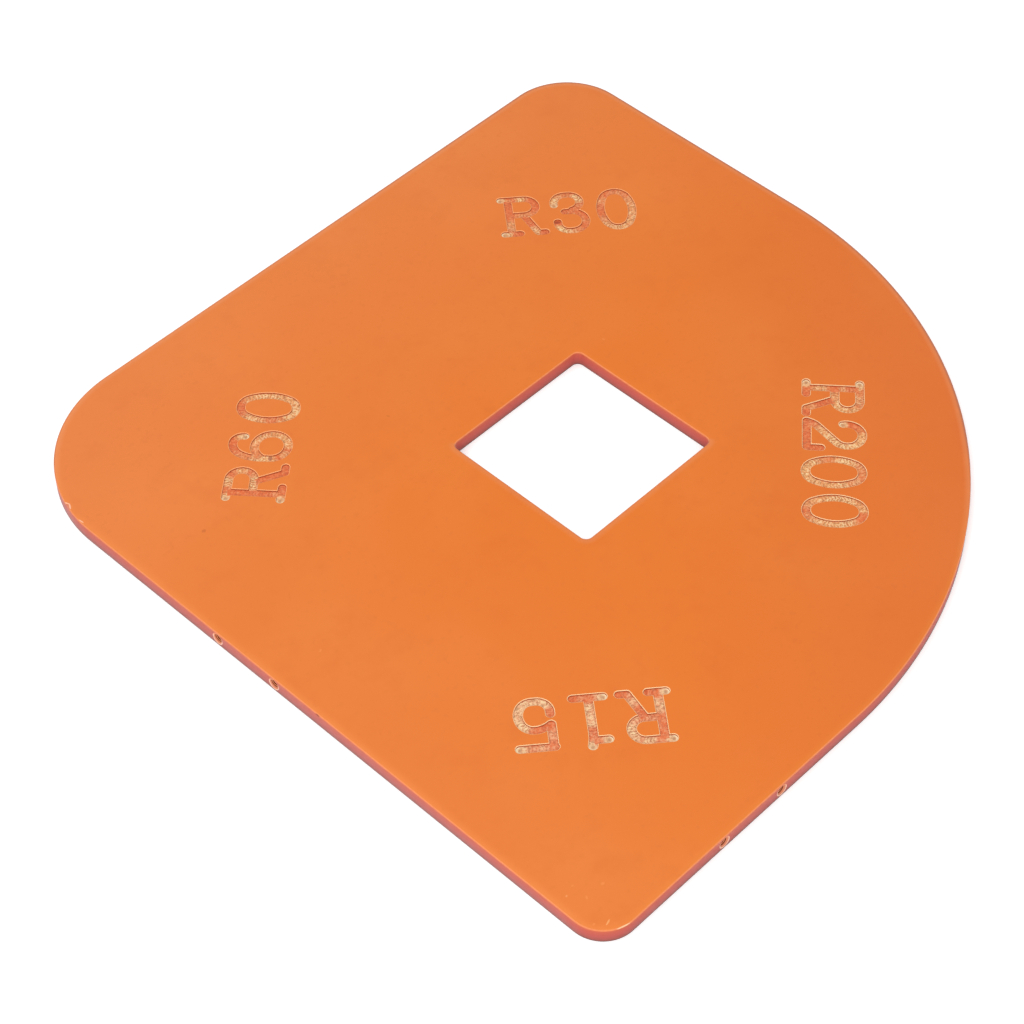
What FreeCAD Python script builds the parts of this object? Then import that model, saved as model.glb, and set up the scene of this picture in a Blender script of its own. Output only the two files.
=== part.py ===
import FreeCAD, Part
import os
import Sketcher
from enum import IntEnum
from FreeCAD import Vector

# Corner radius template for a router: a flat square plate of phenolic laminate.
# Each corner has its own radius, which a bearing-guided cutter copies onto a board.
# A square window is cut through the middle, and the edges hold tapped holes for side stops.
# Millimetres, +Z up. The origin is at the middle of the underside, and front is the -Y side.

# Driving sizes, in millimetres and degrees.
SIZES = {
    # The sheet that the plate is cut from.
    "plate_side": 340,
    "plate_thick": 7,
    # The radius that each corner is made to copy.
    "front_left_radius": 15,
    "front_right_radius": 200,
    "back_right_radius": 30,
    "back_left_radius": 60,
    # The square window, whose corners are left by the cutter.
    "window_side": 75,
    "window_radius": 3,
    # Broken edges round the top face and the underside.
    "top_arris": 0.4,
    "under_arris": 0.3,
    # Edge holes: drilled for an M4 thread, with a countersunk mouth.
    "tap_drill": 3.3,
    "tap_depth": 15,
    "sink_width": 5,
    "sink_angle": 90,
    # Each pair's pitch, and the reach from the side it is set out from to the middle of the pair.
    "pair_pitch": 32,
    "near_pair_reach": 80,
    "far_pair_reach": 152.5,
}

# The four pairs of edge holes: name, plane, its distance along the plane's normal, whether they are drilled
# along that normal, and where the middle of the pair lies along the side. The front and right pairs are set
# out from the two small corners, and the back and left pairs from the large corner that they share.
HOLE_PAIRS = [
    ("Front", "XZ_Plane", "Sizes.plate_side / 2", False, "Sizes.near_pair_reach - Sizes.plate_side / 2"),
    ("Right", "YZ_Plane", "Sizes.plate_side / 2", False, "Sizes.plate_side / 2 - Sizes.near_pair_reach"),
    ("Back", "XZ_Plane", "-Sizes.plate_side / 2", True, "Sizes.far_pair_reach - Sizes.plate_side / 2"),
    ("Left", "YZ_Plane", "-Sizes.plate_side / 2", True, "Sizes.plate_side / 2 - Sizes.far_pair_reach"),
]

# How a sketch names its own origin.
ORIGIN = (-1, 1)


class Point(IntEnum):
    """How a sketch names the points of a line, arc or circle."""

    START = 1
    END = 2
    CENTRE = 3


def fill_sheet(doc):
    """Write the driving sizes, one row each, and give each cell its alias."""
    sheet = doc.addObject("Spreadsheet::Sheet", "Sizes")
    for row, (name, value) in enumerate(SIZES.items(), start=1):
        sheet.set(f"A{row}", name)
        sheet.set(f"B{row}", str(value))
        sheet.setAlias(f"B{row}", name)
    doc.recompute()
    return sheet


def origin_plane(body, role):
    """Find one of the body's own origin planes."""
    return next(item for item in body.Origin.OriginFeatures if item.Role == role)


def new_sketch(body, name, role, offset="0"):
    """Start a sketch on an origin plane, moved along the plane's normal by an expression."""
    sketch = body.newObject("Sketcher::SketchObject", name)
    sketch.AttachmentSupport = (origin_plane(body, role), [""])
    sketch.MapMode = "FlatFace"
    sketch.setExpression(".AttachmentOffset.Base.z", offset)
    return sketch


def bind(sketch, constraint, name, expression):
    """Add a constraint, name it and tie its value to the sheet."""
    index = sketch.addConstraint(constraint)
    sketch.renameConstraint(index, name)
    sketch.setExpression(f"Constraints.{name}", expression)


def finish_cut(doc, cut):
    """Build a cut, and stop if it took nothing away."""
    doc.recompute()
    if cut.Shape.Volume >= cut.BaseFeature.Shape.Volume:
        raise ValueError(f"{cut.Name} cuts nothing")


def draw_rounded_square(sketch, sheet, side, radii):
    """Draw a square about the origin with a tangent arc of its own radius at each corner.

    The sides run front, right, back, left, and radii names the sheet cell of the corner that ends each one.
    """
    half = sheet.get(side) / 2
    corners = [Vector(half, -half, 0), Vector(half, half, 0), Vector(-half, half, 0), Vector(-half, -half, 0)]
    along = [Vector(1, 0, 0), Vector(0, 1, 0), Vector(-1, 0, 0), Vector(0, -1, 0)]
    reach = [sheet.get(name) for name in radii]
    lines = []
    arcs = []
    for turn in range(4):
        start = corners[turn - 1] + along[turn] * reach[turn - 1]
        end = corners[turn] - along[turn] * reach[turn]
        following = along[(turn + 1) % 4]
        arc_end = corners[turn] + following * reach[turn]
        centre = end + following * reach[turn]
        middle = centre + (along[turn] - following).normalize() * reach[turn]
        lines.append(sketch.addGeometry(Part.LineSegment(start, end)))
        arcs.append(sketch.addGeometry(Part.Arc(end, middle, arc_end)))
    for turn in range(4):
        following = lines[(turn + 1) % 4]
        sketch.addConstraint(Sketcher.Constraint("Tangent", lines[turn], Point.END, arcs[turn], Point.START))
        sketch.addConstraint(Sketcher.Constraint("Tangent", arcs[turn], Point.END, following, Point.START))
    for turn, direction in enumerate(["Horizontal", "Vertical", "Horizontal", "Vertical"]):
        sketch.addConstraint(Sketcher.Constraint(direction, lines[turn]))
    front, right, back, left = [(line, Point.START) for line in lines]
    half_side = f"Sizes.{side} / 2"
    bind(sketch, Sketcher.Constraint("DistanceY", *front, *ORIGIN, half), "front_reach", half_side)
    bind(sketch, Sketcher.Constraint("DistanceX", *ORIGIN, *right, half), "right_reach", half_side)
    bind(sketch, Sketcher.Constraint("DistanceY", *ORIGIN, *back, half), "back_reach", half_side)
    bind(sketch, Sketcher.Constraint("DistanceX", *left, *ORIGIN, half), "left_reach", half_side)
    for turn, name in enumerate(radii):
        constraint = Sketcher.Constraint("Radius", arcs[turn], reach[turn])
        bind(sketch, constraint, f"corner_{turn}", f"Sizes.{name}")


def pad_plate(doc, body, sheet):
    """Pad the plate from its outline of straights and four unlike corner arcs."""
    sketch = new_sketch(body, "PlateOutline", "XY_Plane")
    radii = ["front_right_radius", "back_right_radius", "back_left_radius", "front_left_radius"]
    draw_rounded_square(sketch, sheet, "plate_side", radii)
    pad = body.newObject("PartDesign::Pad", "PlatePad")
    pad.Profile = sketch
    pad.setExpression("Length", "Sizes.plate_thick")
    doc.recompute()


def cut_window(doc, body, sheet):
    """Cut the square window through the middle of the plate."""
    sketch = new_sketch(body, "WindowOutline", "XY_Plane")
    draw_rounded_square(sketch, sheet, "window_side", ["window_radius"] * 4)
    pocket = body.newObject("PartDesign::Pocket", "WindowPocket")
    pocket.Profile = sketch
    pocket.Type = "ThroughAll"
    pocket.Reversed = True
    finish_cut(doc, pocket)


def broad_face(shape, pick):
    """Name the top face or the underside of the plate, as pick is max or min."""
    heights = {f"Face{number}": face.CenterOfMass.z for number, face in enumerate(shape.Faces, start=1)}
    return pick(heights, key=heights.get)


def break_edges(doc, body, name, pick, size):
    """Take the sharp arris off every edge round a broad face, at the rim and round the window."""
    base = body.Tip
    chamfer = body.newObject("PartDesign::Chamfer", name)
    chamfer.Base = (base, [broad_face(base.Shape, pick)])
    chamfer.setExpression("Size", f"Sizes.{size}")
    finish_cut(doc, chamfer)


def drill_pair(doc, body, sheet, pair):
    """Drill and countersink one pair of tapped holes into an edge of the plate, at mid thickness."""
    name, role, plane_offset, reverse, middle = pair
    sketch = new_sketch(body, f"{name}HoleCentres", role, plane_offset)
    drill = sheet.get("tap_drill") / 2
    pitch = sheet.get("pair_pitch")
    height = sheet.get("plate_thick") / 2
    first = sketch.addGeometry(Part.Circle(Vector(-pitch / 2, height, 0), Vector(0, 0, 1), drill))
    second = sketch.addGeometry(Part.Circle(Vector(pitch / 2, height, 0), Vector(0, 0, 1), drill))
    sketch.addConstraint(Sketcher.Constraint("Equal", first, second))
    sketch.addConstraint(Sketcher.Constraint("Horizontal", first, Point.CENTRE, second, Point.CENTRE))
    bind(sketch, Sketcher.Constraint("Radius", first, drill), "drill_radius", "Sizes.tap_drill / 2")
    constraint = Sketcher.Constraint("DistanceY", *ORIGIN, first, Point.CENTRE, height)
    bind(sketch, constraint, "mid_height", "Sizes.plate_thick / 2")
    constraint = Sketcher.Constraint("DistanceX", first, Point.CENTRE, second, Point.CENTRE, pitch)
    bind(sketch, constraint, "pitch", "Sizes.pair_pitch")
    constraint = Sketcher.Constraint("DistanceX", *ORIGIN, first, Point.CENTRE, -pitch / 2)
    bind(sketch, constraint, "first_place", f"{middle} - Sizes.pair_pitch / 2")
    doc.recompute()

    hole = body.newObject("PartDesign::Hole", f"{name}Holes")
    hole.Profile = sketch
    hole.Threaded = False
    hole.ThreadType = "None"
    hole.DepthType = "Dimension"
    hole.DrillPoint = "Angled"
    hole.HoleCutType = "Countersink"
    hole.HoleCutCustomValues = True
    hole.Reversed = reverse
    hole.setExpression("Diameter", "Sizes.tap_drill")
    hole.setExpression("Depth", "Sizes.tap_depth")
    hole.setExpression("HoleCutDiameter", "Sizes.sink_width")
    hole.setExpression("HoleCutCountersinkAngle", "Sizes.sink_angle")
    finish_cut(doc, hole)


def make_template(doc, sheet):
    """Model the plate as one body and return it."""
    body = doc.addObject("PartDesign::Body", "TemplatePlate")
    body.Label = "template_plate"
    pad_plate(doc, body, sheet)
    cut_window(doc, body, sheet)
    break_edges(doc, body, "TopArris", max, "top_arris")
    break_edges(doc, body, "UnderArris", min, "under_arris")
    for pair in HOLE_PAIRS:
        drill_pair(doc, body, sheet, pair)
    return body


def check_document(doc, bodies):
    """Stop if any object failed to build, or a body is not one valid solid."""
    for item in doc.Objects:
        if "Invalid" in item.State or "Error" in item.State:
            raise ValueError(f"{item.Name} failed: {item.State}")
    for body in bodies:
        shape = body.Shape
        if shape.isNull() or not shape.isValid() or len(shape.Solids) != 1:
            raise ValueError(f"{body.Label} is not one valid solid")


def main():
    doc = FreeCAD.newDocument("CornerRadiusTemplate")
    sheet = fill_sheet(doc)
    bodies = [make_template(doc, sheet)]
    doc.recompute()
    check_document(doc, bodies)
    os.makedirs("parts", exist_ok=True)
    for body in bodies:
        body.Shape.exportStep(f"parts/{body.Label}.step")
        box = body.Shape.BoundBox
        print(f"{body.Label}: {box.XLength:.2f} x {box.YLength:.2f} x {box.ZLength:.2f} mm,"
              f" {body.Shape.Volume:.0f} mm3, {len(body.Shape.Faces)} faces")


main()
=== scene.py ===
"""Corner radius template: the engraved, tapped plate with its finishes, and the stage it lies on."""

import math

import bmesh
import bpy
import numpy as np
from mathutils import Matrix, Vector


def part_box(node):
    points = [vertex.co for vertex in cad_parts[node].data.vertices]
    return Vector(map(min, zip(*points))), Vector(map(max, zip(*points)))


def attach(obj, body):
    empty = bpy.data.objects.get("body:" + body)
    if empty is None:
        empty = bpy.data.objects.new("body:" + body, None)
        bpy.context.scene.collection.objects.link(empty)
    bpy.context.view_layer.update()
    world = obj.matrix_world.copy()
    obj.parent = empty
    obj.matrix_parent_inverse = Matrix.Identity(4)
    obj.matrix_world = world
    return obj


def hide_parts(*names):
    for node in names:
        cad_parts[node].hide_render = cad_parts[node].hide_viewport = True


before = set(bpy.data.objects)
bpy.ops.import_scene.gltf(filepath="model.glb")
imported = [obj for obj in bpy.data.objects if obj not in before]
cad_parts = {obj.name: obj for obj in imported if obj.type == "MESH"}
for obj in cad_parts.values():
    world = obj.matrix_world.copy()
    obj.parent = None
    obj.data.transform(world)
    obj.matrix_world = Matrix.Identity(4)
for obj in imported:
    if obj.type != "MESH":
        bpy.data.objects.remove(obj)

bl_info = {
    "name": "Corner Radius Template",
    "version": (1, 0, 0),
    "blender": (4, 5, 0),
    "location": "View3D > Sidebar > Template",
    "description": "Engraved corner radius template with tapped edge holes",
    "category": "Add Mesh",
}

MM = 0.001
PLATE = "engraved_plate"
CAD_LOW, CAD_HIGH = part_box("template_plate")
PLATE_SIDE = CAD_HIGH.x - CAD_LOW.x
PLATE_THICK = CAD_HIGH.z - CAD_LOW.z

# How upright a face's normal is: level above the first two, a wall below the third

LEVEL = 0.99
NEARLY_LEVEL = 0.9
WALL = 0.1

# Points closer than this are one, in metres

ONE_POINT = 1e-6

# The broad faces are parted into cells this wide, shifted off the middle of the plate

FACE_CELL = 10.0 * MM
CELL_SHIFT = 0.13 * MM

# Steps of the cutter's form: sides of its footprint, degrees of a turn, millimetres of a run

ROUND_STEPS = 28
TURN_STEP = 7.5
RUN_STEP = 1.4
POINT_STEP = 0.4

# Edge holes: the side they enter and the middle of their pair along it, in millimetres

HOLE_PAIRS = (
    ("front", -90.0),
    ("left", 17.5),
    ("right", 90.0),
    ("back", -17.5),
)

# Cutter strokes of each figure: start x, start y, heading, then runs and (radius, turn) legs

STROKES = {
    "R": (
        (-8.4, 22.2, 0, (9.9, (5.2, -180), 6.5)),
        (-5.3, 0.3, 90, (21.6,)),
        (-8.4, 0.0, 0, (6.8,)),
        (1.0, 11.5, -64.7, (12.4,)),
        (6.4, 0.0, 0, (3.1,)),
    ),
    "1": (
        (-5.4, 0.0, 0, (11.6,)),
        (0.2, 0.3, 90, (16.7, (20, -15), 0.6)),
        (-5.4, 20.05, 0, (5.6,)),
    ),
    "5": (
        (6.9, 21.5, 180, (13.2,)),
        (-6.0, 21.1, -90, (10.2,)),
        (-5.8, 11.0, 40, ((9.6, -40), (5.4, -60), (8.0, -60), (5.4, -60), 1.5, (5.0, -90), 1.3)),
    ),
    "2": (
        (-5.8, 15.1, 105, ((6.2, -244), 12, (5, 25), 2.0)),
        (-7.1, 0.2, 0, (14.6,)),
        (7.7, 0.5, 90, (5.4,)),
    ),
    "3": (
        (-6.5, 17.0, 90, (1.0, (5.2, -90), 1.4, (4.9, -165))),
        (-2.2, 12.4, 0, (2.5, (6.2, -180), 1.3, (5.0, -90), 1.1)),
    ),
    "6": (
        (4.9, 18.2, 90, (0.6, (3.9, 90), (6.74, 60), (14.66, 30), 5.1, (7.1, 90))),
        (0.3, -0.2, 0, ((6.6, 90), (7.2, 90), (7.0, 60))),
    ),
    "0": (
        (0.0, 23.0, 0, ((5.6, -63.3), (18.73, -53.4), (5.6, -126.6), (18.73, -53.4), (5.6, -63.3))),
    ),
}

# Marks: the way the line reads in degrees, its middle and each figure's own shift in millimetres

MARKS = {
    "R15": (140, -100.46, -99.35, ((0.2, 0.6), (0.25, 0.7), (0.65, 0.6))),
    "R200": (-140, 66.84, -77.75, ((0.4, 0.2), (0.3, 0.2), (0.3, -0.1), (0.4, 0.1))),
    "R30": (-40, 97.84, 98.85, ((-0.5, -0.05), (0.05, -0.5), (-0.15, -0.4))),
    "R60": (40, -91.06, 93.85, ((-0.15, 0.15), (-0.5, 0.75), (0.1, -0.1))),
}

# Share of the pale core laid bare along each stroke: (distance in millimetres, share)

BARE_CORE = {
    "R15": (
        (
            (0, 1, 1.8, 1, 2.6, 0.15, 5.6, 0.2, 6.6, 0.8, 10.5, 0.75, 12, 0.4, 13.5, 0.8, 20, 0.8,
             23, 0.55, 26.5, 0.3, 32.7, 0.2),
            (0, 0.15, 2, 0.2, 3, 0.75, 8.5, 0.8, 10, 0.2, 21.6, 0.1),
            (0, 1, 1.6, 1, 2.4, 0.15, 6.8, 0.05),
            (0, 0.1, 5.5, 0.1, 7.5, 0.7, 10, 0.7, 12.4, 0.2),
            (0, 0.1, 3.1, 0.02),
        ),
        (
            (0, 1, 1.5, 0.9, 2.5, 0.5, 4, 0.2, 7.5, 0.15, 9, 0.35, 10, 0.1, 11.6, 0),
            (0, 0.1, 1.8, 0.15, 3, 0.8, 12.5, 0.75, 13.7, 0.2, 19.5, 0.15, 21, 1, 23, 1),
            (0, 1, 1.6, 0.9, 2.6, 0.25, 5.6, 0.15),
        ),
        (
            (0, 1, 1.8, 1, 3, 0.5, 5, 0.25, 9, 0.5, 12.7, 0.1),
            (0, 0.1, 2, 0.15, 4, 0.45, 7, 0.45, 10.2, 0.1),
            (0, 0.1, 7, 0.05, 8.5, 0.35, 10, 0.85, 20, 0.9, 33, 0.9, 34.5, 0.2, 37, 0.1),
        ),
    ),
    "R200": (
        (
            (0, 1, 1.8, 0.9, 2.6, 0.25, 4, 0.3, 6, 0.5, 10, 0.55, 12.5, 0.35, 14.5, 0.8, 24, 0.85,
             28, 0.75, 31, 0.6, 32.7, 0.1),
            (0, 0.15, 1.5, 0.2, 3, 0.7, 8, 0.8, 9.3, 0.2, 12.6, 0.05, 14, 0.6, 15.6, 0.6, 16.6, 0.1,
             21.6, 0.15),
            (0, 1, 1.6, 0.9, 2.4, 0.15, 6.8, 0.05),
            (0, 0.4, 1.4, 0.05, 8, 0.02, 9.4, 0.6, 11.4, 0.5, 12.4, 0.3),
            (0, 0.15, 3.1, 0.02),
        ),
        (
            (0, 1, 1.4, 1, 2.4, 0.1, 6.5, 0.1, 9, 0.5, 11, 0.85, 20, 0.9, 36, 0.8,
             38.5, 0.35, 42.6, 0.1),
            (0, 0.1, 3, 0.15, 9, 0.05, 14.6, 0.15),
            (0, 0.1, 5.4, 0.02),
        ),
        (
            (0, 0.35, 3, 0.35, 5, 0.6, 8, 0.5, 12, 0.85, 24, 0.8, 30, 0.95, 36, 0.9, 40, 0.45, 44, 0.3,
             47, 0.95, 52, 0.8, 56, 0.5, 59.7, 0.35),
        ),
        (
            (0, 0.3, 1.5, 0.1, 4, 0.1, 6, 0.5, 9, 0.85, 20, 0.8, 25, 0.6, 28, 0.25, 31, 0.2, 33, 0.6,
             36, 0.75, 50, 0.85, 56, 0.7, 58.5, 0.9, 59.7, 0.4),
        ),
    ),
    "R30": (
        (
            (0, 1, 1.8, 1, 2.6, 0.1, 6, 0.15, 7.6, 0.85, 10, 0.85, 11.6, 0.25, 13, 0.05, 19, 0.05,
             22, 0.2, 25, 0.45, 28, 0.5, 32.7, 0.1),
            (0, 0.1, 1.8, 0.2, 3, 0.55, 8, 0.6, 9, 0.3, 10.5, 0.05, 21.6, 0.05),
            (0, 1, 2.6, 1, 3.4, 0.1, 6.8, 0.02),
            (0, 0.2, 2, 0.05, 7, 0.05, 8.5, 0.6, 12.4, 0.7),
            (0, 0.5, 1.2, 0.05, 3.1, 0),
        ),
        (
            (0, 1, 4, 0.9, 6, 0.6, 9, 0.35, 11.5, 0.3, 13.5, 0.8, 17, 0.8, 19, 0.25, 24.7, 0.1),
            (0, 0.1, 4, 0.15, 9, 0.05, 12, 0.3, 16, 0.1, 19, 0.3, 22, 0.6, 25, 0.7, 28, 0.95,
             30, 0.9, 31, 0.05, 32.2, 0),
        ),
        (
            (0, 0.35, 3, 0.4, 6, 0.25, 9, 0.65, 30, 0.8, 36, 0.6, 40, 0.35, 43, 0.05, 48, 0.05, 51, 0.5,
             53, 0.45, 55, 0.1, 59.7, 0.3),
        ),
    ),
    "R60": (
        (
            (0, 1, 1.8, 1, 2.6, 0.1, 5.5, 0.1, 7, 0.7, 11, 0.8, 12.5, 0.1, 14.5, 0.15, 16, 0.8, 19, 0.7,
             20.5, 0.15, 23, 0.4, 25, 0.8, 30, 0.7, 32.7, 0.1),
            (0, 0.1, 2, 0.4, 3, 0.1, 21.6, 0.02),
            (0, 1, 2.2, 1, 3, 0.15, 6.8, 0.05),
            (0, 0.4, 1.5, 0.05, 12.4, 0.02),
            (0, 0.05, 3.1, 0),
        ),
        (
            (0, 1, 2.5, 0.8, 4.5, 0.1, 8, 0.05, 12, 0.1, 14.5, 0.55, 17, 0.3, 19, 0.6, 25, 0.9, 29, 0.6,
             30.5, 0.02, 31.5, 0.5, 34, 0.6, 36, 0.1, 37.7, 0.7),
            (0, 0.75, 5.3, 0.85, 10.3, 0.7, 14.3, 0.6, 18.3, 0.7, 22.3, 0.5, 25.3, 0.3, 29, 0.6),
        ),
        (
            (0, 0.1, 2.5, 0.1, 5, 0.7, 30, 0.85, 36, 0.8, 40, 0.35, 44, 0.15, 47, 0.5, 50, 0.85,
             54, 0.7, 56, 0.1, 59.7, 0.02),
        ),
    ),
}


# Sizes and colours that a user would change


def length(name, description, default):
    """A length in metres."""
    return bpy.props.FloatProperty(
        name=name, description=description, default=default, unit="LENGTH"
    )


def surface_colour(name, description, default):
    """A colour in linear red, green and blue."""
    return bpy.props.FloatVectorProperty(
        name=name, description=description, subtype="COLOR", default=default, min=0.0, max=1.0
    )


class TemplatePlateSizes(bpy.types.PropertyGroup):
    """Outline, window and broken edges of the plate."""

    front_left_radius: length("Front Left Radius", "Corner arc marked R15", 0.015)
    front_right_radius: length("Front Right Radius", "Corner arc marked R200", 0.200)
    back_right_radius: length("Back Right Radius", "Corner arc marked R30", 0.030)
    back_left_radius: length("Back Left Radius", "Corner arc marked R60", 0.060)
    window_side: length("Window Side", "Side of the square window in the middle", 0.075)
    window_radius: length(
        "Window Radius", "Radius left by the end mill in the window corners", 0.003
    )
    top_arris: length("Top Arris", "Width broken off the upper edges", 0.0004)
    under_arris: length("Under Arris", "Width broken off the lower edges", 0.0001)
    rubbed_border: length(
        "Rubbed Border", "Band inside each upper edge that is rubbed by handling", 0.004
    )


class TemplateHoleSizes(bpy.types.PropertyGroup):
    """Tapped holes in the edges, for the stops."""

    pair_pitch: length("Pair Pitch", "Distance between the two holes of a pair", 0.032)
    tap_drill: length("Tap Drill", "Diameter of the bore inside the thread", 0.0033)
    thread_size: length("Thread Size", "Diameter at the bottom of the thread grooves", 0.0040)
    thread_pitch: length("Thread Pitch", "Distance between two turns of the thread", 0.0007)
    thread_turns: bpy.props.IntProperty(
        name="Thread Turns", description="Turns that the tap has cut", default=17, min=1
    )
    tap_depth: length("Tap Depth", "Depth of the bore to the end of its wall", 0.015)
    sink_width: length("Sink Width", "Diameter of the countersink at its mouth", 0.0047)
    burnished_width: length(
        "Burnished Width", "Diameter of the pale burnished ring round the mouth", 0.0056
    )


class TemplateMarkSizes(bpy.types.PropertyGroup):
    """Engraved radius marks."""

    stroke_width: length("Stroke Width", "Width of an engraved line at the face", 0.0039)
    rim_width: length("Rim Width", "Width of the pale sloping rim of a line", 0.00025)
    rim_depth: length("Rim Depth", "Depth of the pale sloping rim", 0.0002)
    wall_taper: length("Wall Taper", "Width that the wall runs in from rim to floor", 0.00006)
    cut_depth: length("Cut Depth", "Depth of the engraving", 0.0007)
    figure_pitch: length("Figure Pitch", "Distance from one figure to the next", 0.0209)
    figure_height: length(
        "Figure Height", "Height of a figure along the middle of its lines", 0.0226
    )


class TemplateFinishColours(bpy.types.PropertyGroup):
    """Colours of the orange laminate on its surfaces; the arris colour is partly a painted highlight
    and the bore colour is painted shade in the thread grooves.
    """

    face: surface_colour("Face", "Moulded orange face", (0.814, 0.195, 0.021))
    edge_top: surface_colour("Edge Top", "Milled edge just under the face", (0.650, 0.122, 0.076))
    edge_foot: surface_colour("Edge Foot", "Milled edge near the underside", (0.420, 0.106, 0.085))
    # Paler than the face partly from wear and partly as a painted highlight
    arris: surface_colour("Arris", "Broken upper edge", (0.920, 0.290, 0.100))
    cut_red: surface_colour(
        "Cut Red", "Engraved floor that stops in the red layer", (0.800, 0.165, 0.045)
    )
    cut_pale: surface_colour(
        "Cut Pale", "Engraved floor that reaches the pale core", (0.885, 0.380, 0.132)
    )
    cut_rim: surface_colour("Cut Rim", "Pale rim of an engraved line", (1.000, 0.640, 0.340))
    # Dark of the thread grooves: painted shade
    bore: surface_colour("Bore", "Thread grooves inside a tapped hole", (0.240, 0.036, 0.014))


class TemplateStageSizes(bpy.types.PropertyGroup):
    """Floor and camera."""

    floor_side: length("Floor Side", "Side of the floor", 14.0)
    floor_colour: surface_colour("Floor Colour", "Plain pale floor", (0.90, 0.90, 0.90))
    camera_place: bpy.props.FloatVectorProperty(
        name="Camera Place",
        description="Where the camera stands",
        subtype="TRANSLATION",
        default=(-0.56098, -0.51121, 0.82759),
    )
    camera_turn: bpy.props.FloatVectorProperty(
        name="Camera Turn",
        description="How the camera is turned",
        subtype="EULER",
        default=(math.radians(41.30848), math.radians(0.42816), math.radians(-45.96332)),
    )
    camera_lens: bpy.props.FloatProperty(
        name="Camera Lens",
        description="Focal length in millimetres on a 36 mm sensor",
        default=96.0679,
        min=1.0,
    )


# Selecting and shaping


def leave_edit():
    """Go back to object mode."""
    if bpy.context.mode != "OBJECT":
        bpy.ops.object.mode_set(mode="OBJECT")


def take(*objects):
    """Select these objects alone, the first one active."""
    leave_edit()
    bpy.ops.object.select_all(action="DESELECT")
    for obj in objects:
        obj.select_set(True)
    bpy.context.view_layer.objects.active = objects[0]


def open_mesh(obj):
    """Take the object and go into edit mode."""
    take(obj)
    bpy.ops.object.mode_set(mode="EDIT")


def pick(kind, test, least=1):
    """Select the verts, edges or faces in the open mesh that pass the test."""
    obj = bpy.context.edit_object
    bpy.ops.mesh.select_mode(type=kind)
    bpy.ops.mesh.select_all(action="DESELECT")
    mesh = bmesh.from_edit_mesh(obj.data)
    mesh.normal_update()
    parts = {"VERT": mesh.verts, "EDGE": mesh.edges, "FACE": mesh.faces}[kind]
    found = [part for part in parts if test(part)]
    if len(found) < least:
        raise RuntimeError("found %d of %d parts of %s" % (len(found), least, obj.name))
    for part in found:
        part.select_set(True)
    mesh.select_flush_mode()
    bmesh.update_edit_mesh(obj.data)


def pick_all():
    """Select the whole open mesh."""
    bpy.ops.mesh.select_all(action="SELECT")


def tidy_open_mesh(gap=ONE_POINT):
    """Merge doubles in the open mesh and turn its normals outwards."""
    pick_all()
    bpy.ops.mesh.remove_doubles(threshold=gap)
    bpy.ops.mesh.normals_make_consistent(inside=False)


def give_finish(obj, finish_name, test):
    """Give the faces that pass the test this finish."""
    leave_edit()
    finish = bpy.data.materials.get(finish_name) or bpy.data.materials.new(finish_name)
    if finish.name not in obj.data.materials:
        obj.data.materials.append(finish)
    number = obj.data.materials.find(finish.name)
    for face in obj.data.polygons:
        if test(face):
            face.material_index = number


def combine(obj, other, operation):
    """Cut another form out of the object or add it, with that form's finishes on its faces."""
    take(obj)
    step = obj.modifiers.new("combine", "BOOLEAN")
    step.operation = operation
    step.solver = "MANIFOLD"
    step.material_mode = "TRANSFER"
    step.object = other
    bpy.ops.object.modifier_apply(modifier=step.name)
    bpy.data.objects.remove(other, do_unlink=True)


def place_mesh(obj, place):
    """Move the mesh of an object by a matrix, and leave the object at the origin."""
    take(obj)
    obj.matrix_world = place
    bpy.ops.object.transform_apply(location=True, rotation=True, scale=True)


def copy_piece(obj, name, place):
    """Copy an object with its own mesh to a place."""
    copy = obj.copy()
    copy.data = obj.data.copy()
    copy.name = name
    bpy.context.scene.collection.objects.link(copy)
    place_mesh(copy, place)
    return copy


def join_pieces(objects, name):
    """Join objects into the first one."""
    take(*objects)
    bpy.ops.object.join()
    joined = bpy.context.view_layer.objects.active
    joined.name = name
    return joined


# Plate


def rounded_sheet(name, side, corners):
    """A flat square sheet, left open, with its corners rounded: (x sign, y sign, radius, steps)."""
    bpy.ops.mesh.primitive_plane_add(size=side, location=(0.0, 0.0, 0.0))
    sheet = bpy.context.view_layer.objects.active
    sheet.name = name
    open_mesh(sheet)
    for across, along, radius, steps in corners:
        corner = Vector((across * side / 2, along * side / 2, 0.0))
        pick("VERT", lambda vert: (vert.co - corner).length < 1e-5)
        bpy.ops.mesh.bevel(
            offset_type="OFFSET",
            offset=radius,
            segments=steps,
            profile=0.5,
            affect="VERTICES",
        )
    return sheet


def frame_sheet(sheet, width):
    """Keep only a border of this width of the open sheet, inside its outline."""
    pick_all()
    bpy.ops.mesh.inset(thickness=width, depth=0.0, use_boundary=True, use_even_offset=True)
    bpy.ops.mesh.delete(type="FACE")
    leave_edit()
    return sheet


def faces_gap(edge, border_half):
    """True for an open edge of the two borders that faces the gap between them."""
    if len(edge.link_faces) != 1:
        return False
    middle = (edge.verts[0].co + edge.verts[1].co) / 2
    outward = (middle - edge.link_faces[0].calc_center_median()).dot(middle) > 0
    on_window = max(abs(middle.x), abs(middle.y)) < border_half
    return outward == on_window


def is_rim_edge(edge, height):
    """True for an edge between a level face at this height and a standing wall."""
    if any(abs(vert.co.z - height) > ONE_POINT for vert in edge.verts):
        return False
    tilts = sorted(abs(face.normal.z) for face in edge.link_faces)
    return len(tilts) == 2 and tilts[0] < WALL and tilts[1] > NEARLY_LEVEL


def break_edges(plate, height, width, steps):
    """Break the edges round the face at this height."""
    open_mesh(plate)
    pick("EDGE", lambda edge: is_rim_edge(edge, height), least=8)
    bpy.ops.mesh.bevel(
        offset_type="OFFSET",
        offset=width,
        segments=steps,
        profile=0.5,
        affect="EDGES",
    )
    leave_edit()


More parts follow.
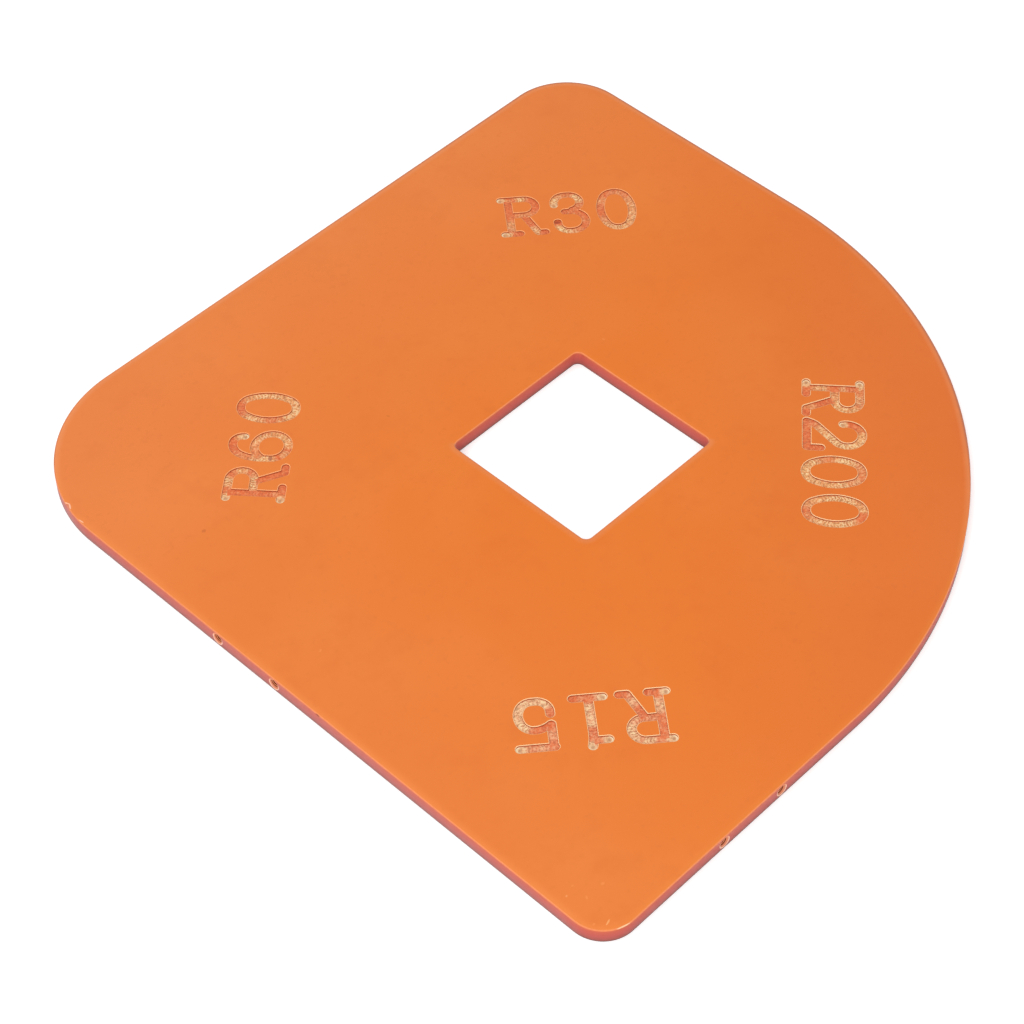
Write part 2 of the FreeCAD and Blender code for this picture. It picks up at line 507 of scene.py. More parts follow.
class TEMPLATE_OT_plate(bpy.types.Operator):
    """Model the plate: four unlike corner arcs, the middle window and the broken edges"""

    bl_idname = "template.plate"
    bl_label = "Template Plate"
    bl_options = {"REGISTER", "UNDO"}

    def execute(self, context):
        sizes = context.scene.template_plate_sizes
        corners = (
            (-1, -1, sizes.front_left_radius, 24),
            (1, -1, sizes.front_right_radius, 96),
            (1, 1, sizes.back_right_radius, 32),
            (-1, 1, sizes.back_left_radius, 48),
        )
        border = sizes.rubbed_border
        plate = frame_sheet(rounded_sheet(PLATE, PLATE_SIDE, corners), border)
        window_corners = tuple(
            (x, y, sizes.window_radius + border, 10) for x in (-1, 1) for y in (-1, 1)
        )
        window_side = sizes.window_side + 2 * border
        window = frame_sheet(rounded_sheet("window_border", window_side, window_corners), border)
        plate = join_pieces((plate, window), PLATE)
        open_mesh(plate)
        border_half = window_side / 2 + border / 2
        pick("EDGE", lambda edge: faces_gap(edge, border_half))
        bpy.ops.mesh.bridge_edge_loops()
        pick_all()
        bpy.ops.mesh.extrude_region_move(
            TRANSFORM_OT_translate={"value": (0.0, 0.0, PLATE_THICK)}
        )
        tidy_open_mesh()
        break_edges(plate, PLATE_THICK, sizes.top_arris, 2)
        break_edges(plate, 0.0, sizes.under_arris, 1)
        self.note_border(plate)
        self.part_faces(plate, FACE_CELL)
        give_finish(plate, "milled_edge", lambda face: abs(face.normal.z) < WALL)
        give_finish(plate, "broken_arris", lambda face: WALL <= abs(face.normal.z) < LEVEL)
        give_finish(plate, "moulded_face", lambda face: abs(face.normal.z) >= LEVEL)
        return {"FINISHED"}

    def part_faces(self, plate, cell):
        """Part the broad faces into cells, so that each figure is cut from small faces."""
        open_mesh(plate)
        count = int(PLATE_SIDE / cell)
        for number in range(1, count):
            reach = (number - count / 2) * cell + CELL_SHIFT
            for side in ((1.0, 0.0, 0.0), (0.0, 1.0, 0.0)):
                pick("FACE", lambda face: abs(face.normal.z) > LEVEL)
                bpy.ops.mesh.bisect(
                    plane_co=tuple(reach * share for share in side),
                    plane_no=side,
                    threshold=ONE_POINT,
                )
        leave_edit()

    def note_border(self, plate):
        """Note the points on the upper broken edge, and how much painted shade those facing right and
        back get.
        """
        mesh = plate.data
        outward = {}
        for face in mesh.polygons:
            if WALL <= face.normal.z < LEVEL:
                for number in face.vertices:
                    outward.setdefault(number, Vector((0.0, 0.0)))
                    outward[number] += face.normal.xy.normalized()
        for name in ("rubbed", "edge_shade"):
            mesh.attributes.new(name, "FLOAT", "POINT")
        rubbed = mesh.attributes["rubbed"]
        edge_shade = mesh.attributes["edge_shade"]
        back_right = Vector((1.0, 1.0)).normalized()
        for number, out in outward.items():
            rubbed.data[number].value = 1.0
            spot = mesh.vertices[number].co
            # Painted shade: less on the left side and round the window, growing as the edge turns from
            # the front left to the back right
            less_shaded = spot.x < -0.105 or max(abs(spot.x), abs(spot.y)) < 0.06
            most = 0.8 if less_shaded else 1.0
            shade_strength = 1.0 + 2.0 * out.normalized().dot(back_right)
            edge_shade.data[number].value = min(most, max(0.0, shade_strength))


# Tapped holes in the edges


def ring_out(radius, height):
    """Draw the picked ring of the open mesh to a new radius and height."""
    mesh = bmesh.from_edit_mesh(bpy.context.edit_object.data)
    ring = [vert for vert in mesh.verts if vert.select]
    now = max(vert.co.xy.length for vert in ring)
    level = ring[0].co.z
    bpy.ops.mesh.extrude_region_move(
        TRANSFORM_OT_translate={"value": (0.0, 0.0, height - level)}
    )
    share = radius / now
    bpy.ops.transform.resize(value=(share, share, 1.0), center_override=(0.0, 0.0, height))


def drill_form(sizes):
    """The drill and countersink as one turned form that enters along -Z from the edge at height 0."""
    bore = sizes.tap_drill / 2
    sink = sizes.sink_width / 2
    ring = sizes.burnished_width / 2
    lip = 0.08 * MM
    above = 0.16 * MM
    outer = ring + (ring - sink) * above / lip
    sink_foot = -lip - (sink - bore)
    tip = 0.02 * MM
    half_point = math.radians(59)
    bpy.ops.mesh.primitive_circle_add(
        vertices=32, radius=outer, fill_type="NGON", location=(0.0, 0.0, 0.0)
    )
    drill = bpy.context.view_layer.objects.active
    drill.name = "drill_cutter"
    open_mesh(drill)
    pick_all()
    bpy.ops.transform.translate(value=(0.0, 0.0, above))
    ring_out(sink, -lip)
    ring_out(bore, sink_foot)
    ring_out(bore, -sizes.tap_depth)
    ring_out(tip, -sizes.tap_depth - bore / math.tan(half_point))
    tidy_open_mesh()
    leave_edit()
    give_finish(drill, "tapped_bore", lambda face: face.center.z <= sink_foot)
    give_finish(drill, "burnished_sink", lambda face: face.center.z > sink_foot)
    return drill


def thread_form(sizes):
    """The groove that the tap cuts, as one helical form along -Z."""
    root = sizes.thread_size / 2
    foot = sizes.tap_drill / 2 - 0.05 * MM
    half_foot = 0.30 * MM
    half_root = 0.05 * MM
    start = -0.30 * MM
    bpy.ops.mesh.primitive_plane_add(size=1.0, location=(0.0, 0.0, 0.0))
    groove = bpy.context.view_layer.objects.active
    groove.name = "thread_cutter"
    corners = ((foot, -half_foot), (root, -half_root), (foot, half_foot), (root, half_root))
    for vert, (out, up) in zip(groove.data.vertices, corners):
        vert.co = (out, 0.0, start + up)
    open_mesh(groove)
    pick_all()
    bpy.ops.mesh.delete(type="ONLY_FACE")
    leave_edit()
    winding = groove.modifiers.new("winding", "SCREW")
    winding.axis = "Z"
    winding.angle = math.tau
    winding.screw_offset = -sizes.thread_pitch
    winding.iterations = sizes.thread_turns
    winding.steps = 24
    winding.render_steps = 24
    winding.use_merge_vertices = False
    take(groove)
    bpy.ops.object.modifier_apply(modifier=winding.name)
    open_mesh(groove)
    tidy_open_mesh(1e-7)
    bpy.ops.mesh.select_all(action="DESELECT")
    bpy.ops.mesh.select_mode(type="EDGE")
    bpy.ops.mesh.select_non_manifold(
        extend=False,
        use_wire=False,
        use_boundary=True,
        use_multi_face=False,
        use_non_contiguous=False,
        use_verts=False,
    )
    bpy.ops.mesh.fill_holes(sides=4)
    tidy_open_mesh(1e-7)
    leave_edit()
    give_finish(groove, "tapped_bore", lambda face: True)
    return groove


def hole_places(pitch):
    """Where each hole enters: its middle on the edge, with -Z of the cutter pointing inwards."""
    half = PLATE_SIDE / 2
    middle = PLATE_THICK / 2
    turns = {"front": 0.0, "right": 90.0, "back": 180.0, "left": 270.0}
    for side, reach in HOLE_PAIRS:
        turn = Matrix.Rotation(math.radians(turns[side]), 4, "Z")
        for shift in (-pitch / 2, pitch / 2):
            along = reach * MM + shift
            if side in ("back", "left"):
                along = -along
            stand = Matrix.Rotation(math.radians(90.0), 4, "X")
            yield turn @ Matrix.Translation((along, -half, middle)) @ stand


def note_thread(plate, sizes):
    """Note how deep each point of a bore lies in the thread: 0 on its wall, 1 in the groove."""
    mesh = plate.data
    bore = sizes.tap_drill / 2
    groove = sizes.thread_size / 2 - bore
    depth = mesh.attributes.new("thread_depth", "FLOAT", "POINT")
    into_holes = [place.inverted() for place in hole_places(sizes.pair_pitch)]
    number = mesh.materials.find("tapped_bore")
    points = set()
    for face in mesh.polygons:
        if face.material_index == number:
            points.update(face.vertices)
    for point in points:
        spot = mesh.vertices[point].co
        out = min((place @ spot).xy.length for place in into_holes)
        depth.data[point].value = min(1.0, max(0.0, (out - bore) / groove))


class TEMPLATE_OT_edge_holes(bpy.types.Operator):
    """Drill, countersink and tap the pairs of holes in the edges"""

    bl_idname = "template.edge_holes"
    bl_label = "Tapped Edge Holes"
    bl_options = {"REGISTER", "UNDO"}

    def execute(self, context):
        sizes = context.scene.template_hole_sizes
        drill = drill_form(sizes)
        combine(drill, thread_form(sizes), "UNION")
        taps = []
        for place in hole_places(sizes.pair_pitch):
            taps.append(copy_piece(drill, "tap_%d" % len(taps), place))
        bpy.data.objects.remove(drill, do_unlink=True)
        plate = bpy.data.objects[PLATE]
        combine(plate, join_pieces(taps, "tap_set"), "DIFFERENCE")
        open_mesh(plate)
        pick_all()
        bpy.ops.mesh.dissolve_degenerate(threshold=ONE_POINT)
        leave_edit()
        note_thread(plate, sizes)
        return {"FINISHED"}


# Engraved marks


def leg_ends(stroke):
    """Walk a stroke of the cutter: (x, y, heading, leg) before each leg, and the end."""
    x, y, heading, legs = stroke
    heading = math.radians(heading)
    stops = []
    for leg in legs:
        stops.append((x, y, heading, leg))
        if isinstance(leg, tuple):
            radius, turn = leg
            side = math.copysign(radius, turn)
            middle_x = x - side * math.sin(heading)
            middle_y = y + side * math.cos(heading)
            heading += math.radians(turn)
            x = middle_x + side * math.sin(heading)
            y = middle_y - side * math.cos(heading)
        else:
            x += leg * math.cos(heading)
            y += leg * math.sin(heading)
    stops.append((x, y, heading, None))
    return stops


def is_ring(stroke):
    """True if the stroke ends where it starts."""
    stops = leg_ends(stroke)
    return math.hypot(stops[0][0] - stops[-1][0], stops[0][1] - stops[-1][1]) < 0.01


def add_round_end(x, y, heading, half_width, height):
    """Add half of the cutter's round footprint behind a point, in the open mesh."""
    bpy.ops.mesh.select_all(action="DESELECT")
    bpy.ops.mesh.primitive_circle_add(
        vertices=ROUND_STEPS,
        radius=half_width,
        fill_type="NGON",
        location=(x, y, height),
        rotation=(0.0, 0.0, heading),
    )
    bpy.ops.mesh.bisect(
        plane_co=(x, y, height),
        plane_no=(math.cos(heading), math.sin(heading), 0.0),
        clear_outer=True,
        threshold=1e-7,
    )


def pick_section(x, y, heading, half_width):
    """Pick the edge across the stroke at a point of the open mesh."""
    ahead = Vector((math.cos(heading), math.sin(heading)))
    across = Vector((-ahead.y, ahead.x))
    here = Vector((x, y))

    def at_section(edge):
        for vert in edge.verts:
            offset = vert.co.xy - here
            if abs(offset.dot(ahead)) > 2 * ONE_POINT:
                return False
            if abs(abs(offset.dot(across)) - half_width) > 2 * ONE_POINT:
                return False
        return len(edge.link_faces) < 2

    pick("EDGE", at_section)


def follow_legs(stroke, half_width):
    """Draw the picked section along the stroke's runs and turns."""
    for x, y, heading, leg in leg_ends(stroke)[:-1]:
        if isinstance(leg, tuple):
            radius, turn = leg
            side = math.copysign(radius, turn) * MM
            middle = (x * MM - side * math.sin(heading), y * MM + side * math.cos(heading), 0.0)
            bpy.ops.mesh.spin(
                steps=max(2, round(abs(turn) / TURN_STEP)),
                dupli=False,
                angle=-math.radians(turn),
                use_auto_merge=False,
                use_normal_flip=False,
                center=middle,
                axis=(0.0, 0.0, 1.0),
            )
        else:
            steps = max(1, round(leg / RUN_STEP))
            step = leg * MM / steps
            for _ in range(steps):
                bpy.ops.mesh.extrude_edges_move(
                    TRANSFORM_OT_translate={
                        "value": (step * math.cos(heading), step * math.sin(heading), 0.0)
                    }
                )


def stroke_form(name, stroke, sizes, extra):
    """One engraved stroke as a closed cutter: sloping rim, steep wall and flat floor."""
    above = 0.10 * MM + extra
    cap = above + 0.02 * MM
    rim_depth = sizes.rim_depth + extra
    depth = sizes.cut_depth + extra
    slope = sizes.rim_width / sizes.rim_depth
    half_width = sizes.stroke_width / 2 + above * slope - 0.3 * extra
    x, y, heading, _ = leg_ends(stroke)[0]
    end_x, end_y, end_heading, _ = leg_ends(stroke)[-1]
    bpy.ops.mesh.primitive_circle_add(
        vertices=ROUND_STEPS, radius=half_width, fill_type="NGON", location=(x * MM, y * MM, cap)
    )
    cutter = bpy.context.view_layer.objects.active
    cutter.name = name
    place_mesh(cutter, cutter.matrix_world.copy())
    open_mesh(cutter)
    pick_all()
    bpy.ops.mesh.delete(type="VERT")
    add_round_end(x * MM, y * MM, heading, half_width, cap)
    pick_section(x * MM, y * MM, heading, half_width)
    follow_legs(stroke, half_width)
    if is_ring(stroke):
        pick("FACE", lambda face: len(face.verts) > 4)
        bpy.ops.mesh.delete(type="FACE")
    else:
        add_round_end(end_x * MM, end_y * MM, end_heading + math.pi, half_width, cap)
    pick_all()
    bpy.ops.mesh.remove_doubles(threshold=4e-6)
    bpy.ops.mesh.extrude_region_move(
        TRANSFORM_OT_translate={"value": (0.0, 0.0, above - cap)}
    )
    tidy_open_mesh()
    pick("FACE", lambda face: face.normal.z < -NEARLY_LEVEL)
    slope_width = (rim_depth + above) * slope
    bpy.ops.mesh.inset(thickness=slope_width, depth=0.0, use_boundary=True, use_even_offset=True)
    bpy.ops.transform.translate(value=(0.0, 0.0, -above - rim_depth))
    bpy.ops.mesh.inset(thickness=sizes.wall_taper, depth=0.0, use_boundary=True, use_even_offset=True)
    bpy.ops.transform.translate(value=(0.0, 0.0, rim_depth - depth))
    pick_all()
    bpy.ops.mesh.normals_make_consistent(inside=False)
    leave_edit()
    give_finish(cutter, "cut_rim", lambda face: face.center.z > -rim_depth)
    give_finish(cutter, "cut_wall", lambda face: face.center.z < -rim_depth)
    give_finish(cutter, "cut_floor", lambda face: face.normal.z < -NEARLY_LEVEL)
    return cutter


def figure_form(figure, sizes):
    """All strokes of one figure as one cutter, each a hair deeper than the last."""
    form = None
    for number, stroke in enumerate(STROKES[figure]):
        part = stroke_form("stroke_%s_%d" % (figure, number), stroke, sizes, 0.012 * MM * number)
        if form is None:
            form = part
        else:
            combine(form, part, "UNION")
            open_mesh(form)
            tidy_open_mesh()
            leave_edit()
    form.name = "figure_" + figure
    return form


def figure_places(mark, sizes):
    """Each figure of a mark with the matrix that puts it on the face."""
    turn, middle_x, middle_y, shifts = MARKS[mark]
    start = -(len(mark) - 1) / 2 * sizes.figure_pitch
    line = (
        Matrix.Translation((middle_x * MM, middle_y * MM, PLATE_THICK))
        @ Matrix.Rotation(math.radians(turn), 4, "Z")
    )
    for number, (figure, (across, up)) in enumerate(zip(mark, shifts)):
        reach = start + number * sizes.figure_pitch + across * MM
        rise = up * MM - sizes.figure_height / 2
        yield figure, line @ Matrix.Translation((reach, rise, 0.0))


def stroke_points(stroke):
    """Points along a stroke in metres: x, y, heading and distance from its start."""
    points = []
    travel = 0.0
    for x, y, heading, leg in leg_ends(stroke)[:-1]:
        length = leg if not isinstance(leg, tuple) else leg[0] * math.radians(abs(leg[1]))
        count = max(2, int(length / POINT_STEP))
        for step in range(count + 1):
            share = step / count
            if isinstance(leg, tuple):
                side = math.copysign(leg[0], leg[1])
                turned = heading + math.radians(leg[1]) * share
                point_x = x - side * math.sin(heading) + side * math.sin(turned)
                point_y = y + side * math.cos(heading) - side * math.cos(turned)
            else:
                turned = heading
                point_x = x + leg * share * math.cos(heading)
                point_y = y + leg * share * math.sin(heading)
            points.append((point_x * MM, point_y * MM, turned, (travel + length * share) * MM))
        travel += length
    return points


def travel_tables(sizes):
    """Every stroke on the plate as points with their headings, travel and bare core."""
    tables = []
    for mark in MARKS:
        for (figure, place), bare in zip(figure_places(mark, sizes), BARE_CORE[mark]):
            turn = place.to_euler().z
            for stroke, shares in zip(STROKES[figure], bare):
                rows = []
                for x, y, heading, travel in stroke_points(stroke):
                    spot = place @ Vector((x, y, 0.0))
                    share = float(np.interp(travel / MM, shares[0::2], shares[1::2]))
                    rows.append((spot.x, spot.y, heading + turn, travel, share, len(tables)))
                tables.append(np.array(rows))
    return np.concatenate(tables)


def plunge_spots(sizes):
    """Where the cutter went down into the pale core, and the way out of the stroke there."""
    spots = []
    for mark in MARKS:
        for (figure, place), bare in zip(figure_places(mark, sizes), BARE_CORE[mark]):
            turn = place.to_euler().z
            for stroke, shares in zip(STROKES[figure], bare):
                points = stroke_points(stroke)
                ends = ((points[0], shares[1], math.pi), (points[-1], shares[-1], 0.0))
                for point, share, flip in ends:
                    if share == 1:
                        heading = point[2] + turn + flip
                        outward = Vector((math.cos(heading), math.sin(heading)))
                        spots.append(((place @ Vector((point[0], point[1], 0.0))).xy, outward))
    return spots


def note_travel(plate, sizes):
    """Write the cutter's travel as a UV map, and the bare core as an attribute, on the engraving."""
    mesh = plate.data
    table = travel_tables(sizes)
    plunges = plunge_spots(sizes)
    far = 3.0
    for name in ("plunge_offset", "cutter_travel"):
        mesh.uv_layers.new(name=name)
    mesh.attributes.new("bare_core", "FLOAT", "CORNER")
    plunge_map = mesh.uv_layers["plunge_offset"]
    travel_map = mesh.uv_layers["cutter_travel"]
    bare = mesh.attributes["bare_core"]
    cut = {mesh.materials.find(name) for name in ("cut_floor", "cut_wall", "cut_rim")}
    for face in mesh.polygons:
        if face.material_index not in cut:
            continue
        gaps = (table[:, 0] - face.center.x) ** 2 + (table[:, 1] - face.center.y) ** 2
        near = table[gaps.argmin()]
        own = table[table[:, 5] == near[5]]
        own = own[np.abs(own[:, 3] - near[3]) < 3.0 * MM]
        plunge, outward = min(plunges, key=lambda spot: (face.center.xy - spot[0]).length)
        close = (face.center.xy - plunge).length < far * MM
        for loop in face.loop_indices:
            spot = mesh.vertices[mesh.loops[loop].vertex_index].co
            gaps = (own[:, 0] - spot.x) ** 2 + (own[:, 1] - spot.y) ** 2
            row = own[gaps.argmin()]
            ahead = Vector((math.cos(row[2]), math.sin(row[2])))
            offset = spot.xy - Vector((row[0], row[1]))
            along = row[3] + offset.dot(ahead)
            aside = ahead.x * offset.y - ahead.y * offset.x
            travel_map.data[loop].uv = (along, aside)
            bare.data[loop].value = row[4]
            reach = (spot.xy - plunge) / (sizes.stroke_width / 2)
            sideways = outward.x * reach.y - outward.y * reach.x
            plunge_map.data[loop].uv = (reach.dot(outward), sideways) if close else (far, 0.0)


class TEMPLATE_OT_radius_marks(bpy.types.Operator):
    """Engrave the radius of each corner beside it"""

    bl_idname = "template.radius_marks"
    bl_label = "Radius Marks"
    bl_options = {"REGISTER", "UNDO"}

    def execute(self, context):
        sizes = context.scene.template_mark_sizes
        plate = bpy.data.objects[PLATE]
        forms = {figure: figure_form(figure, sizes) for figure in STROKES}
        for mark in MARKS:
            for figure, place in figure_places(mark, sizes):
                cutter = copy_piece(forms[figure], mark + "_cutter", place)
                combine(plate, cutter, "DIFFERENCE")
        for form in forms.values():
            bpy.data.objects.remove(form, do_unlink=True)
        note_travel(plate, sizes)
        return {"FINISHED"}


# Nodes


def feed(tree, target, value):
    """Give an input a constant, or join an output to it."""
    if isinstance(value, bpy.types.NodeSocket):
        tree.links.new(value, target)
    else:
        target.default_value = value


def add_node(tree, kind, inputs=None, **settings):
    """Add a node with its settings, and feed its inputs by name or number."""
    node = tree.nodes.new(kind)
    for name, value in settings.items():
        setattr(node, name, value)
    for name, value in (inputs or {}).items():
        feed(tree, node.inputs[name], value)
    return node


def lay_out(tree):
    """Set the nodes out in columns, each to the right of the nodes that feed it."""
    columns = {}
    rows = {}
    for node in tree.nodes:
        feeders = [link.from_node.name for socket in node.inputs for link in socket.links]
        column = 1 + max((columns.get(name, 0) for name in feeders), default=-1)
        columns[node.name] = column
        rows[column] = rows.get(column, 0) + 1
        node.location = (column * 220, -rows[column] * 200)


def open_group(name, inputs):
    """A new shader group and its inputs: (name, kind, default)."""
    group = bpy.data.node_groups.new(name, "ShaderNodeTree")
    for label, kind, default in inputs:
        socket = group.interface.new_socket(
            name=label, in_out="INPUT", socket_type="NodeSocket" + kind
        )
        if default is not None:
            socket.default_value = default
    return group, add_node(group, "NodeGroupInput").outputs


def close_group(group, outputs):
    """Give a shader group its outputs: each name with its kind and source."""
    for label, (kind, _) in outputs.items():
        group.interface.new_socket(
            name=label, in_out="OUTPUT", socket_type="NodeSocket" + kind
        )
    sources = {label: source for label, (_, source) in outputs.items()}
    add_node(group, "NodeGroupOutput", sources)
    lay_out(group)
    return group


def noise(tree, vector, scale, detail, rough):
    """A noise texture's value."""
    inputs = {"Vector": vector, "Scale": scale, "Detail": detail, "Roughness": rough}
    return add_node(tree, "ShaderNodeTexNoise", inputs).outputs["Fac"]


def remap(tree, value, low, high, to_low=0.0, to_high=1.0):
    """Map a value from one range to another, clamped."""
    inputs = {
        "Value": value,
        "From Min": low,
        "From Max": high,
        "To Min": to_low,
        "To Max": to_high,
    }
    return add_node(tree, "ShaderNodeMapRange", inputs).outputs["Result"]


def combined(tree, operation, first, *others):
    """One math step after another, on two or more values."""
    for other in others:
        inputs = {0: first, 1: other}
        first = add_node(tree, "ShaderNodeMath", inputs, operation=operation).outputs[0]
    return first


def vector_step(tree, operation, first, second=(0.0, 0.0, 0.0)):
    """One math step on two vectors, as the outputs of its node."""
    inputs = {0: first, 1: second}
    return add_node(tree, "ShaderNodeVectorMath", inputs, operation=operation).outputs


def solid(colour):
    """Red, green and blue with full alpha."""
    return (colour[0], colour[1], colour[2], 1.0)


def blend(tree, share, first, second):
    """Mix two colours, each an output or red, green and blue."""
    inputs = {0: share}
    for number, colour in ((6, first), (7, second)):
        is_output = isinstance(colour, bpy.types.NodeSocket)
        inputs[number] = colour if is_output else solid(colour)
    return add_node(tree, "ShaderNodeMix", inputs, data_type="RGBA").outputs[2]


def axes(tree, vector):
    """The three parts of a vector."""
    return add_node(tree, "ShaderNodeSeparateXYZ", {0: vector}).outputs


def noted(tree, name):
    """A value that the mesh carries."""
    return add_node(tree, "ShaderNodeAttribute", attribute_name=name).outputs["Fac"]


def use_group(tree, group, **inputs):
    """Place a group with its values; an underscore in a name stands for a space."""
    values = {name.replace("_", " "): value for name, value in inputs.items()}
    return add_node(tree, "ShaderNodeGroup", values, node_tree=group).outputs


# Effects that the finishes share


def build_clouds_group():
    """Soft cloudy shifts of a moulded laminate's colour."""
    group, given = open_group(
        "laminate_clouds",
        (
            ("Vector", "Vector", None),
            ("Colour", "Color", (0.8, 0.2, 0.05, 1.0)),
            ("Light", "Color", (0.85, 0.26, 0.09, 1.0)),
            ("Deep", "Color", (0.7, 0.15, 0.03, 1.0)),
            ("Cloud Scale", "Float", 60.0),
            ("Amount", "Float", 0.5),
        ),
    )
    scale = given["Cloud Scale"]
    broad = noise(group, given["Vector"], combined(group, "MULTIPLY", scale, 0.25), 2.0, 0.5)
    close = noise(group, given["Vector"], scale, 4.0, 0.6)
    lighter = combined(group, "MULTIPLY", remap(group, broad, 0.45, 0.7), given["Amount"])
    deeper = combined(group, "MULTIPLY", remap(group, close, 0.5, 0.75), given["Amount"])
    colour = blend(group, lighter, given["Colour"], given["Light"])
    colour = blend(group, deeper, colour, given["Deep"])
    return close_group(group, {"Colour": ("Color", colour), "Mask": ("Float", close)})


def build_grain_group():
    """Fine grain of a cut or moulded surface, as a height and a mask."""
    group, given = open_group(
        "fine_grain",
        (
            ("Vector", "Vector", None),
            ("Grain Scale", "Float", 1500.0),
            ("Stretch", "Vector", (1.0, 1.0, 1.0)),
        ),
    )
    scale = given["Grain Scale"]
    pulled = vector_step(group, "MULTIPLY", given["Vector"], given["Stretch"])[0]
    fine = noise(group, pulled, scale, 3.0, 0.6)
    coarse = noise(group, pulled, combined(group, "MULTIPLY", scale, 0.31), 2.0, 0.5)
    specks = remap(group, coarse, 0.60, 0.72)
    return close_group(group, {"Height": ("Float", fine), "Specks": ("Float", specks)})


def build_spot_group():
    """A ragged spot at one place, long in one direction, for wear and for painted highlight and shade.
    """
    group, given = open_group(
        "wear_and_painted_light_spot",
        (
            ("Vector", "Vector", None),
            ("Place", "Vector", (0.0, 0.0, 0.0)),
            ("Turn", "Float", 0.0),
            ("Half Length", "Float", 0.002),
            ("Half Width", "Float", 0.001),
            ("Raggedness", "Float", 0.4),
        ),
    )
    offset = vector_step(group, "SUBTRACT", given["Vector"], given["Place"])[0]
    inputs = {"Vector": offset, "Angle": given["Turn"]}
    turned = add_node(group, "ShaderNodeVectorRotate", inputs, rotation_type="Z_AXIS").outputs[0]
    squares = []
    for reach, half in zip(axes(group, turned), ("Half Length", "Half Width", "Half Width")):
        share = combined(group, "DIVIDE", reach, given[half])
        squares.append(combined(group, "MULTIPLY", share, share))
    ragged = noise(group, given["Vector"], 1800.0, 3.0, 0.6)
    shift = combined(
        group,
        "MULTIPLY",
        combined(group, "SUBTRACT", ragged, 0.5),
        combined(group, "MULTIPLY", given["Raggedness"], 4.0),
    )
    mask = remap(group, combined(group, "ADD", *squares, shift), 1.15, 0.75)
    return close_group(group, {"Mask": ("Float", mask)})


def outer_share(tree, place):
    """1 on the outer edges, 0 round the window."""
    level = vector_step(tree, "MULTIPLY", place, (1.0, 1.0, 0.0))[0]
    return remap(tree, vector_step(tree, "LENGTH", level)["Value"], 0.065, 0.095)


def start_finish(name):
    """An empty finish and its object coordinates."""
    finish = bpy.data.materials.get(name) or bpy.data.materials.new(name)
    finish.use_nodes = True
    tree = finish.node_tree
    tree.nodes.clear()
    return tree, add_node(tree, "ShaderNodeTexCoord").outputs["Object"]


def end_finish(tree, colour, specular, rough, height, bump):
    """Join a colour, a roughness (mask, low, high) and a relief (distance, strength)."""
    mask, low, high = rough
    distance, strength = bump
    inputs = {"Strength": strength, "Distance": distance, "Height": height}
    relief = add_node(tree, "ShaderNodeBump", inputs)
    inputs = {
        "Base Color": colour,
        "Roughness": remap(tree, mask, 0.3, 0.7, low, high),
        "Specular IOR Level": specular,
        "Normal": relief.outputs[0],
    }
    shader = add_node(tree, "ShaderNodeBsdfPrincipled", inputs)
    add_node(tree, "ShaderNodeOutputMaterial", {"Surface": shader.outputs[0]})
    lay_out(tree)


def grained(tree, groups, place, scale, low, high, most, colour, tint):
    """Tint a colour where the grain stands high, and give the grain's height too."""
    height = use_group(tree, groups["grain"], Vector=place, Grain_Scale=scale)["Height"]
    return blend(tree, remap(tree, height, low, high, 0.0, most), colour, tint), height


# Wear, with one painted highlight and one painted shade among it: surfaces, place, turn, half length
# and width in millimetres, raggedness, share and colour

WEAR_AND_PAINTED_LIGHT = (
    ("arris edge", (-170.0, -23.0, 6.4), 90, 1.2, 0.38, 0.3, 0.85, (0.28, 0.04, 0.02)),
    ("face", (-138.7, 76.2, 7.0), 0, 1.0, 0.8, 0.5, 0.55, (0.58, 0.13, 0.03)),
    ("face", (-44.2, 68.1, 7.0), 120, 0.9, 0.35, 0.3, 0.4, (0.55, 0.12, 0.02)),
    ("face arris edge", (-167.7, 125.3, 6.9), 75, 1.7, 0.75, 0.3, 0.70, (0.68, 0.20, 0.13)),
    ("face arris", (-166.8, 126.9, 7.0), -72, 1.25, 0.32, 0.2, 0.85, (1.00, 0.54, 0.34)),
    ("face arris", (-167.1, 124.9, 7.0), 60, 1.6, 0.36, 0.2, 0.85, (1.00, 0.54, 0.34)),
    ("face arris", (-169.1, 115.5, 6.9), 96, 1.5, 0.28, 0.3, 0.90, (0.98, 0.52, 0.32)),
    ("face", (-162.1, -164.1, 7.0), 18, 1.4, 0.35, 0.4, 0.60, (0.96, 0.48, 0.18)),
    ("face", (-151.4, -151.7, 7.0), 0, 0.7, 0.6, 0.3, 0.45, (0.92, 0.32, 0.09)),
    ("face", (-159.7, -151.6, 7.0), 60, 0.8, 0.4, 0.3, 0.45, (0.92, 0.32, 0.09)),
    ("face", (-164.2, -146.0, 7.0), 20, 0.5, 0.35, 0.3, 0.55, (0.95, 0.42, 0.16)),
    ("face", (-159.5, -144.5, 7.0), 0, 0.6, 0.4, 0.3, 0.30, (0.92, 0.32, 0.09)),
    ("face", (-166.1, -161.0, 7.0), 0, 0.6, 0.4, 0.3, 0.35, (0.92, 0.32, 0.09)),
    ("face", (-148.2, -1.5, 7.0), 30, 0.8, 0.4, 0.3, 0.40, (0.92, 0.32, 0.09)),
    ("face", (49.9, 34.1, 7.0), 100, 0.8, 0.5, 0.3, 0.40, (0.92, 0.32, 0.09)),
    # Painted highlight: a glint along the arris at the R15 corner
    ("face arris", (-159.5, -169.2, 6.9), -17, 5.0, 0.32, 0.2, 0.80, (1.00, 0.66, 0.38)),
    ("floor", (-93.6, 86.3, 6.3), 40, 1.2, 0.9, 0.1, 0.75, (0.38, 0.13, 0.07)),
    # Painted shade: the wall's shadow on the floor at the tail of the 3 of R30
    ("floor", (89.6, 98.6, 6.3), -40, 1.5, 0.9, 0.2, 0.70, (0.34, 0.05, 0.025)),
)


